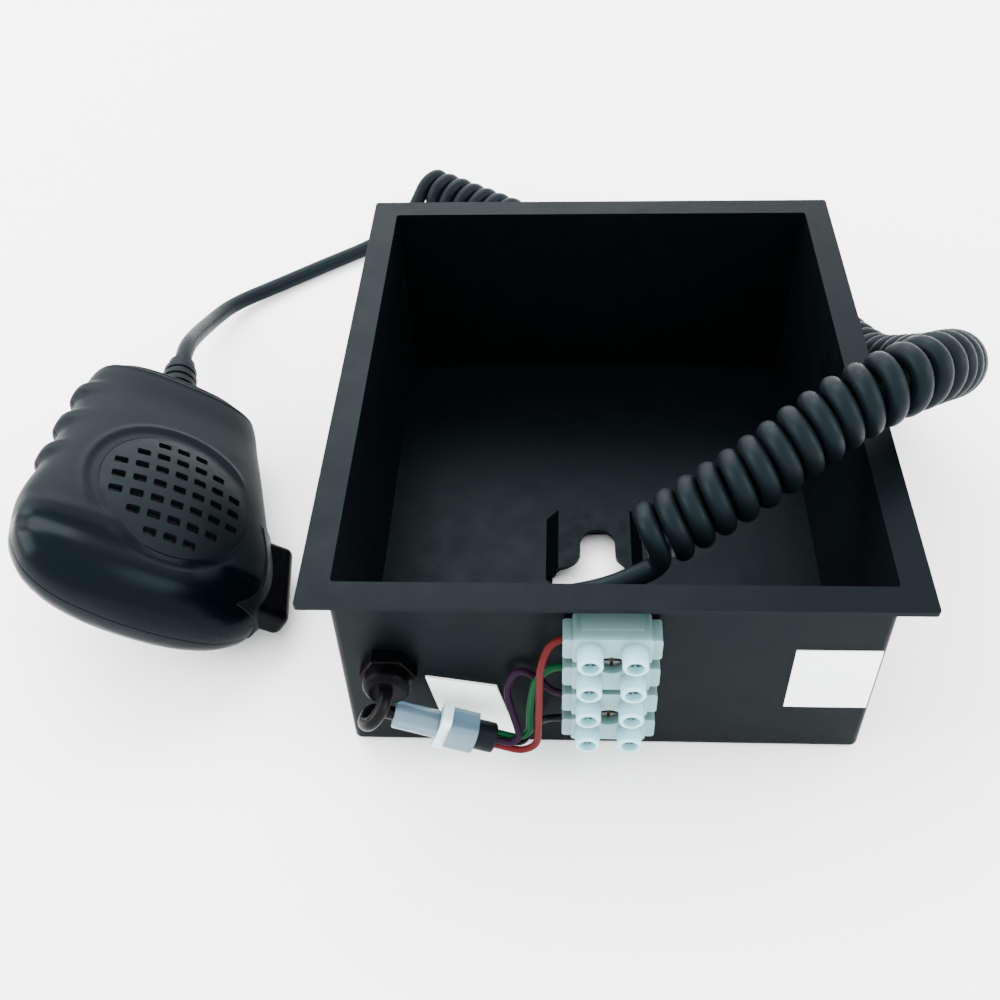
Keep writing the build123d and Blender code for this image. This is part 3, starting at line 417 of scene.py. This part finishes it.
def pitch_at(s):
    """Pitch of the coil along its axis: drawn out where it climbs from the tray, closer where it lies behind it."""
    stops = [(0.0, 5.4), (0.060, 5.45), (0.080, 5.7), (0.100, 6.1), (0.125, 6.0), (0.160, 5.7), (0.230, 5.5), (0.350, 5.5)]
    xs, ys = zip(*stops)
    return float(np.interp(s, xs, ys)) * MM


fine_s = np.linspace(0, coil_len, 6000)
turns = np.concatenate([[0], np.cumsum([(fine_s[1] - fine_s[0]) / pitch_at(s) for s in fine_s[:-1]])])
end_phase = math.atan2(-(last_off @ cb[-1]), last_off @ cn[-1]) / (2 * math.pi)
whole = round(turns[-1] - end_phase) + end_phase
turns *= whole / turns[-1]
STEPS = 30
theta = np.linspace(0, 2 * math.pi * whole, int(whole * STEPS))
s_of = np.interp(theta / (2 * math.pi), turns, fine_s)


def along(table, s):
    return np.stack([np.interp(s, coil_s, table[:, k]) for k in range(3)], 1)


C, N, B = along(coil_axis, s_of), along(cn, s_of), along(cb, s_of)
N /= np.linalg.norm(N, axis=1)[:, None]
B /= np.linalg.norm(B, axis=1)[:, None]
wob = 1.0 + 0.010 * np.sin(theta * 0.131 + 0.7) + 0.006 * np.sin(theta * 0.047)
rad = HELIX_R * np.minimum(wob, 1.0)
helix = C + (np.cos(theta) * rad)[:, None] * N - (np.sin(theta) * rad)[:, None] * B
tail_rev = tail_pts[::-1]
line = np.concatenate([tail_rev[:-1], helix, lead_pts[1:]])
line, _ = resample(line, 1.1 * MM)
near1 = int(np.argmin(np.linalg.norm(line - helix[0], axis=1)))
near2 = int(np.argmin(np.linalg.norm(line - helix[-1], axis=1)))
line = smooth_line(line, 14, max(0, near1 - 10), near1 + 11)
line = smooth_line(line, 14, near2 - 10, min(len(line), near2 + 11))
line = smooth_line(line, 2)
cord = tube_mesh("microphone_cord", line, CORD_D / 2 - 0.00002, sides=16)
cord_mat = textured("cord_sheath", (0.0018, 0.0032, 0.0038), 0.46, spread=0.14, blotch=55, grain=2400, grain_depth=0.00004, rough_spread=0.07, spec=0.075, sheen=COOL)
put(cord, cord_mat)
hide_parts("cord_tail", "cord_coil", "cord_lead")
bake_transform(cord)


# ------------------------------------------------------------------ handset casing
H_LEN, HEAD, NECK, HF, NF, HB, NB = 81.9, 33.1, 24.3, 13.6, 9.8, 12.2, 11.0
SHARE = np.array([0, 0.012, 0.045, 0.10, 0.19, 0.31, 0.5, 0.68, 0.84, 0.94, 0.98, 1.0])
HALF_W = np.array([0.30 * HEAD, 0.50 * HEAD, 0.72 * HEAD, 0.88 * HEAD, 0.98 * HEAD, HEAD, 0.62 * HEAD + 0.38 * NECK, 1.13 * NECK,
                   1.04 * NECK, 0.98 * NECK, 0.90 * NECK, 0.80 * NECK])
FRONT = np.array([0.30 * HF, 0.46 * HF, 0.68 * HF, 0.86 * HF, 0.98 * HF, HF, 0.98 * HF, 0.5 * (HF + NF), 1.02 * NF, 0.98 * NF, 0.9 * NF, 0.8 * NF])
BACK = np.array([0.35 * HB, 0.5 * HB, 0.7 * HB, 0.86 * HB, 0.97 * HB, HB, 0.95 * HB, 0.5 * (HB + NB), 1.02 * NB, 0.97 * NB, 0.88 * NB, 0.75 * NB])


def pchip(x, y, q):
    """Monotone cubic interpolation."""
    h = np.diff(x)
    d = np.diff(y) / h
    m = np.zeros(len(x))
    for i in range(1, len(x) - 1):
        if d[i - 1] * d[i] > 0:
            w1, w2 = 2 * h[i] + h[i - 1], h[i] + 2 * h[i - 1]
            m[i] = (w1 + w2) / (w1 / d[i - 1] + w2 / d[i])
    m[0], m[-1] = d[0], d[-1]
    q = np.asarray(q, float)
    i = np.clip(np.searchsorted(x, q) - 1, 0, len(x) - 2)
    t = (q - x[i]) / h[i]
    return ((2 * t**3 - 3 * t**2 + 1) * y[i] + (t**3 - 2 * t**2 + t) * h[i] * m[i] + (-2 * t**3 + 3 * t**2) * y[i + 1]
            + (t**3 - t**2) * h[i] * m[i + 1])


def smoothstep(a, b, v):
    t = np.clip((v - a) / (b - a), 0, 1)
    return t * t * (3 - 2 * t)


def casing_point(share, th, shrink=0.0):
    """A point of the casing in handset millimetres: share 0 at the nose to 1 at the cord end, th round from the right side over the front."""
    half = pchip(SHARE, HALF_W, share) - shrink
    c, s = np.cos(th), np.sin(th)
    n = np.where(s >= 0, 2.7, 2.3)
    depth = np.where(s >= 0, pchip(SHARE, FRONT, share), pchip(SHARE, BACK, share)) - shrink
    x = half * np.sign(c) * np.abs(c) ** (2 / n)
    z = depth * np.sign(s) * np.abs(s) ** (2 / n)
    y = -H_LEN / 2 + H_LEN * share
    return x, y, z


def half_shell(name, th0, th1, gap, rings=150, around=120):
    """One half of the casing between the angles th0 and th1, with both ends closed."""
    shares = np.concatenate([np.linspace(0, 0.05, 16)[:-1], np.linspace(0.05, 0.95, rings - 30), np.linspace(0.95, 1.0, 16)[1:]])
    ths = np.linspace(th0, th1, around)
    verts, faces = [], []
    rows = []
    # closed nose: rings drawn in towards the tip
    for k in (0.0, 0.35, 0.7, 0.9):
        x, y, z = casing_point(np.zeros(around), ths)
        bulge = 0.6 * (1 - k * k)
        rows.append(np.stack([x * k, y - bulge, z * k], 1))
    for sh in shares:
        x, y, z = casing_point(np.full(around, sh), ths)
        rows.append(np.stack([x, y, z], 1))
    for k in (0.93, 0.7, 0.35, 0.0):
        x, y, z = casing_point(np.ones(around), ths)
        rows.append(np.stack([x * k, y + 0.35 * (1 - k) ** 0.5, z * k], 1))
    P = np.array(rows)
    P = sculpt(P)
    P[:, :, 2] += gap
    m, n, _ = P.shape
    verts = P.reshape(-1, 3) * MM
    for i in range(m - 1):
        for j in range(n - 1):
            a, b, c, d = i * n + j, i * n + j + 1, (i + 1) * n + j + 1, (i + 1) * n + j
            faces.append((a, b, c, d))
    me = bpy.data.meshes.new(name)
    me.from_pydata([tuple(v) for v in verts], [], faces)
    bm = bmesh.new()
    bm.from_mesh(me)
    bmesh.ops.remove_doubles(bm, verts=bm.verts, dist=0.00002)
    bmesh.ops.recalc_face_normals(bm, faces=bm.faces)
    bm.to_mesh(me)
    bm.free()
    ob = bpy.data.objects.new(name, me)
    bpy.context.scene.collection.objects.link(ob)
    return ob


LUG_AT = [(27.0, 2.7), (14.0, 2.7), (1.0, 2.7)]


def sculpt(P):
    """Relief of the casing: the crease where the face ends and the nose begins, the ring round the grille, the edge at the
    cord end and the three lugs on the left flank."""
    x, y, z = P[..., 0], P[..., 1], P[..., 2]
    out = P.copy()
    front = smoothstep(1.5, 6.0, z)
    # crease across the front: the nose stands back a little behind the face and swells again
    line_y = -24.5 + 0.0045 * (x + 2.0) ** 2
    away = smoothstep(17.5, 8.0, x)
    out[..., 2] -= 1.25 * np.exp(-((y - line_y + 3.8) / 3.2) ** 2) * front * away
    out[..., 2] += 0.55 * np.exp(-((y - line_y - 0.8) / 2.0) ** 2) * front * away
    # ring round the grille
    r = np.hypot(x - 1.0, y + 8.0)
    lift = smoothstep(20.5, 15.0, x)
    out[..., 2] += 0.55 * np.exp(-((r - 23.2) / 0.9) ** 2) * smoothstep(6.0, 9.0, z) * lift * smoothstep(-22.0, -16.0, y)
    out[..., 2] -= 0.35 * np.exp(-((r - 21.2) / 0.9) ** 2) * smoothstep(6.0, 9.0, z) * lift
    # the face ends in a ridge, with a groove before the rounded end
    out[..., 2] += 0.35 * np.exp(-((y - 37.6) / 0.7) ** 2) * front
    out[..., 2] -= 0.75 * np.exp(-((y - 39.5) / 0.8) ** 2) * front
    # lugs
    for cy, w in LUG_AT:
        lug = np.exp(-((y - cy) / w) ** 4) * smoothstep(-12.0, -20.0, x) * np.exp(-((z - 1.5) / 5.5) ** 4)
        out[..., 0] -= 1.9 * lug
    return out


front_skin = half_shell("front_casing", 0.0, math.pi, 0.12)
rear_skin = half_shell("rear_casing", -math.pi, 0.0, -0.12)


def boxy(name, lo, hi):
    bm = bmesh.new()
    bmesh.ops.create_cube(bm, size=1.0)
    for v in bm.verts:
        v.co = Vector([(lo[k] + hi[k]) / 2 + v.co[k] * (hi[k] - lo[k]) for k in range(3)]) * MM
    me = bpy.data.meshes.new(name)
    bm.to_mesh(me)
    bm.free()
    ob = bpy.data.objects.new(name, me)
    bpy.context.scene.collection.objects.link(ob)
    return ob


def rod(name, centre, radius, z0, z1, sides=96):
    bm = bmesh.new()
    bmesh.ops.create_cone(bm, cap_ends=True, segments=sides, radius1=radius * MM, radius2=radius * MM, depth=(z1 - z0) * MM)
    for v in bm.verts:
        v.co += Vector((centre[0], centre[1], (z0 + z1) / 2)) * MM
    me = bpy.data.meshes.new(name)
    bm.to_mesh(me)
    bm.free()
    ob = bpy.data.objects.new(name, me)
    bpy.context.scene.collection.objects.link(ob)
    return ob


def bake(ob):
    """Applies the modifiers of an object to its mesh."""
    bpy.context.view_layer.update()
    me = bpy.data.meshes.new_from_object(ob.evaluated_get(bpy.context.evaluated_depsgraph_get()))
    old = ob.data
    ob.modifiers.clear()
    ob.data = me
    bpy.data.meshes.remove(old)


def cut(ob, tool):
    m = ob.modifiers.new("cut", "BOOLEAN")
    m.operation = "DIFFERENCE"
    m.solver = "EXACT"
    m.object = tool


for skin in (front_skin, rear_skin):
    so = skin.modifiers.new("wall", "SOLIDIFY")
    so.thickness = 1.9 * MM
    so.offset = -1.0
    bake(skin)
tools = [rod("t1", (1.0, -8.0), 19.42, 6.0, 22.0), boxy("t2", (20.6, -33.05, -1.65), (40.0, -4.45, 9.85))]
cut(front_skin, tools[0])
bake(front_skin)
for skin in (front_skin, rear_skin):
    cut(skin, tools[1])
    bake(skin)
# holes of the casing screws
for k, (bx, by) in enumerate(((21.0, 3.5), (-24.0, 6.0), (15.5, 31.0), (-15.5, 31.0))):
    tools.append(rod(f"t{3 + k}", (bx, by), 1.62, -20.0, -3.0, sides=48))
    cut(rear_skin, tools[-1])
    bake(rear_skin)
for t in tools:
    bpy.data.objects.remove(t)


def seam_lip(name, line):
    """The inner lip that closes the joint between the casing halves, a thin standing band just inside the wall."""
    P = np.array(line)
    n = len(P)
    verts = [(x * MM, y * MM, z * MM) for x, y in P for z in (-1.6, -0.6, 0.6, 1.6)]
    faces = [(4 * i + k, 4 * i + k + 1, 4 * i + k + 5, 4 * i + k + 4) for i in range(n - 1) for k in range(3)]
    me = bpy.data.meshes.new(name)
    me.from_pydata(verts, [], faces)
    ob = bpy.data.objects.new(name, me)
    bpy.context.scene.collection.objects.link(ob)
    so = ob.modifiers.new("wall", "SOLIDIFY")
    so.thickness = 0.6 * MM
    so.offset = 0.0
    bake(ob)
    bm = bmesh.new()
    bm.from_mesh(ob.data)
    bmesh.ops.recalc_face_normals(bm, faces=bm.faces)
    bm.to_mesh(ob.data)
    bm.free()
    return ob


END_IN = H_LEN / 2 - 2.3
side = [(float(pchip(SHARE, HALF_W, (y + H_LEN / 2) / H_LEN)) - 2.3, y) for y in np.linspace(-END_IN, END_IN, 120)]
lip_a = seam_lip("casing_lip_a", [p for p in side if p[1] > -3.6] + [(x, END_IN) for x in np.linspace(side[-1][0], 6.6, 12)[1:]])
lip_b = seam_lip("casing_lip_b", [(x, END_IN) for x in np.linspace(-6.6, -side[-1][0], 12)[:-1]] + [(-x, y) for x, y in side[::-1]]
                 + [(x, -END_IN) for x in np.linspace(-side[0][0], side[0][0], 40)[1:-1]] + [p for p in side if p[1] < -34.0])


def handset_axes(nt, coord):
    """Object coordinates measured along the handset's own axes, from its own middle."""
    off = nt.nodes.new("ShaderNodeVectorMath")
    off.operation = "SUBTRACT"
    off.inputs[1].default_value = tuple(HM.translation)
    nt.links.new(coord.outputs["Object"], off.inputs[0])
    out = nt.nodes.new("ShaderNodeCombineXYZ")
    for k in range(3):
        dot = nt.nodes.new("ShaderNodeVectorMath")
        dot.operation = "DOT_PRODUCT"
        dot.inputs[1].default_value = tuple(HM.to_3x3().col[k])
        nt.links.new(off.outputs["Vector"], dot.inputs[0])
        nt.links.new(dot.outputs["Value"], out.inputs[k])
    return out.outputs["Vector"]


def casing_material(name):
    """Moulded casing: fine matt grain on the face, smoother and glossier over the nose below the crease, with painted
    shade and reflection darkening the nose's colour.
    """
    m, nt, bsdf, coord = new_mat(name)
    sep = nt.nodes.new("ShaderNodeSeparateXYZ")
    nt.links.new(handset_axes(nt, coord), sep.inputs[0])
    x2 = math_node(nt, "POWER", math_node(nt, "ABSOLUTE", math_node(nt, "ADD", sep.outputs["X"], 0.002)), 2.0)
    edge = math_node(nt, "MULTIPLY_ADD", x2, 4.5, -0.0255)
    off = math_node(nt, "SUBTRACT", edge, sep.outputs["Y"])
    nose = nt.nodes.new("ShaderNodeMapRange")
    nose.interpolation_type = "SMOOTHSTEP"
    nose.inputs["From Min"].default_value = -0.0006
    nose.inputs["From Max"].default_value = 0.0012
    nt.links.new(off, nose.inputs["Value"])
    slow = noise(nt, coord, 30, 4.0)
    face = ramp(nt, slow, [(0.3, (0.0020, 0.0030, 0.0037, 1)), (0.7, (0.0028, 0.0040, 0.0049, 1))])
    # painted shade and reflection: the nose's colour is darker and bluer than the face's, standing for the dark bluish
    # reflections on it
    nose_shade_colour = ramp(nt, slow, [(0.3, (0.0002, 0.0009, 0.0015, 1)), (0.7, (0.0004, 0.0014, 0.0021, 1))])
    mx = nt.nodes.new("ShaderNodeMix")
    mx.data_type = "RGBA"
    nt.links.new(nose.outputs["Result"], mx.inputs["Factor"])
    nt.links.new(face, mx.inputs["A"])
    nt.links.new(nose_shade_colour, mx.inputs["B"])
    # painted shade: the groove and the rounded end past the face's ridge are painted near black, standing for the
    # shadow on the cord end
    end_shade_mask = nt.nodes.new("ShaderNodeMapRange")
    end_shade_mask.interpolation_type = "SMOOTHSTEP"
    end_shade_mask.inputs["From Min"].default_value = 0.0384
    end_shade_mask.inputs["From Max"].default_value = 0.0390
    nt.links.new(sep.outputs["Y"], end_shade_mask.inputs["Value"])
    end_shade_mix = nt.nodes.new("ShaderNodeMix")
    end_shade_mix.data_type = "RGBA"
    nt.links.new(end_shade_mask.outputs["Result"], end_shade_mix.inputs["Factor"])
    nt.links.new(mx.outputs["Result"], end_shade_mix.inputs["A"])
    nt.links.new(ramp(nt, slow, [(0.3, (0.0004, 0.0004, 0.0006, 1)), (0.7, (0.0007, 0.0007, 0.0009, 1))]), end_shade_mix.inputs["B"])
    nt.links.new(end_shade_mix.outputs["Result"], bsdf.inputs["Base Color"])
    bsdf.inputs["Specular IOR Level"].default_value = 0.055
    bsdf.inputs["Specular Tint"].default_value = (*COOL, 1.0)
    r = nt.nodes.new("ShaderNodeMapRange")
    r.inputs["To Min"].default_value = 0.50
    r.inputs["To Max"].default_value = 0.27
    nt.links.new(nose.outputs["Result"], r.inputs["Value"])
    mott = math_node(nt, "MULTIPLY_ADD", noise(nt, coord, 260, 3.0), 0.10, -0.05)
    nt.links.new(math_node(nt, "ADD", r.outputs["Result"], mott), bsdf.inputs["Roughness"])
    grain = noise(nt, coord, 1500, 2.0)
    amp = math_node(nt, "MULTIPLY_ADD", nose.outputs["Result"], -0.75, 1.0)
    bump(nt, bsdf, math_node(nt, "MULTIPLY", grain, amp), 0.6, 0.00006)
    return m


casing_mat = casing_material("casing_moulded")
for skin, node in ((front_skin, "front_shell"), (rear_skin, "rear_shell")):
    skin.data.transform(HM)
    put(skin, casing_mat)
    skin.data.set_sharp_from_angle(angle=math.radians(38))
    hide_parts(node)
    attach(skin, "handset")
for lip in (lip_a, lip_b):
    lip.data.transform(HM)
    put(lip, casing_mat)
    lip.data.set_sharp_from_angle(angle=math.radians(38))
    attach(lip, "handset")

# ------------------------------------------------------------------ edges of the CAD nodes
soften("back_box", 0.00045, 3)
soften("hanger_clip", 0.0003, 2)
soften("terminal_strip_body", 0.00025, 2)
soften("ptt_bar", 0.0003, 3)
soften("ptt_bezel", 0.0002, 2)
for name in LOOKS:
    if nodes[name].type == "MESH":
        for p in nodes[name].data.polygons:
            p.use_smooth = True
        nodes[name].data.set_sharp_from_angle(angle=math.radians(30))

# ------------------------------------------------------------------ floor and light
bm = bmesh.new()
bmesh.ops.create_grid(bm, x_segments=1, y_segments=1, size=4.0)
fl = bpy.data.meshes.new("studio_floor")
bm.to_mesh(fl)
bm.free()
floor = bpy.data.objects.new("studio_floor", fl)
bpy.context.scene.collection.objects.link(floor)
floor.location = (0, 0, -0.0001)
fm, nt, bsdf, coord = new_mat("pale_floor")
nt.links.new(ramp(nt, noise(nt, coord, 3.0), [(0.3, (0.95, 0.95, 0.95, 1)), (0.7, (0.97, 0.97, 0.97, 1))]), bsdf.inputs["Base Color"])
bsdf.inputs["Roughness"].default_value = 0.9
put(floor, fm)

world = bpy.data.worlds.new("studio")
bpy.context.scene.world = world
world.use_nodes = True
bg = world.node_tree.nodes["Background"]
bg.inputs["Color"].default_value = (0.96, 0.98, 1.0, 1)
bg.inputs["Strength"].default_value = 4.4


def area(name, at, to, size, power, colour=(1, 1, 1)):
    d = bpy.data.lights.new(name, "AREA")
    d.shape = "RECTANGLE"
    d.size, d.size_y = size
    d.energy = power
    d.color = colour
    o = bpy.data.objects.new(name, d)
    bpy.context.scene.collection.objects.link(o)
    v = Vector(to) - Vector(at)
    o.matrix_world = Matrix.Translation(at) @ v.to_track_quat("-Z", "Y").to_matrix().to_4x4()
    return o


area("key_above_back", (-0.30, 0.60, 0.80), (0, 0, 0.02), (1.0, 0.5), 18.0)
area("fill_left", (-0.9, -0.1, 0.55), (0, 0, 0.03), (0.6, 0.6), 15.0)
area("fill_right", (0.8, -0.2, 0.6), (0, 0, 0.03), (0.5, 0.5), 10.0)
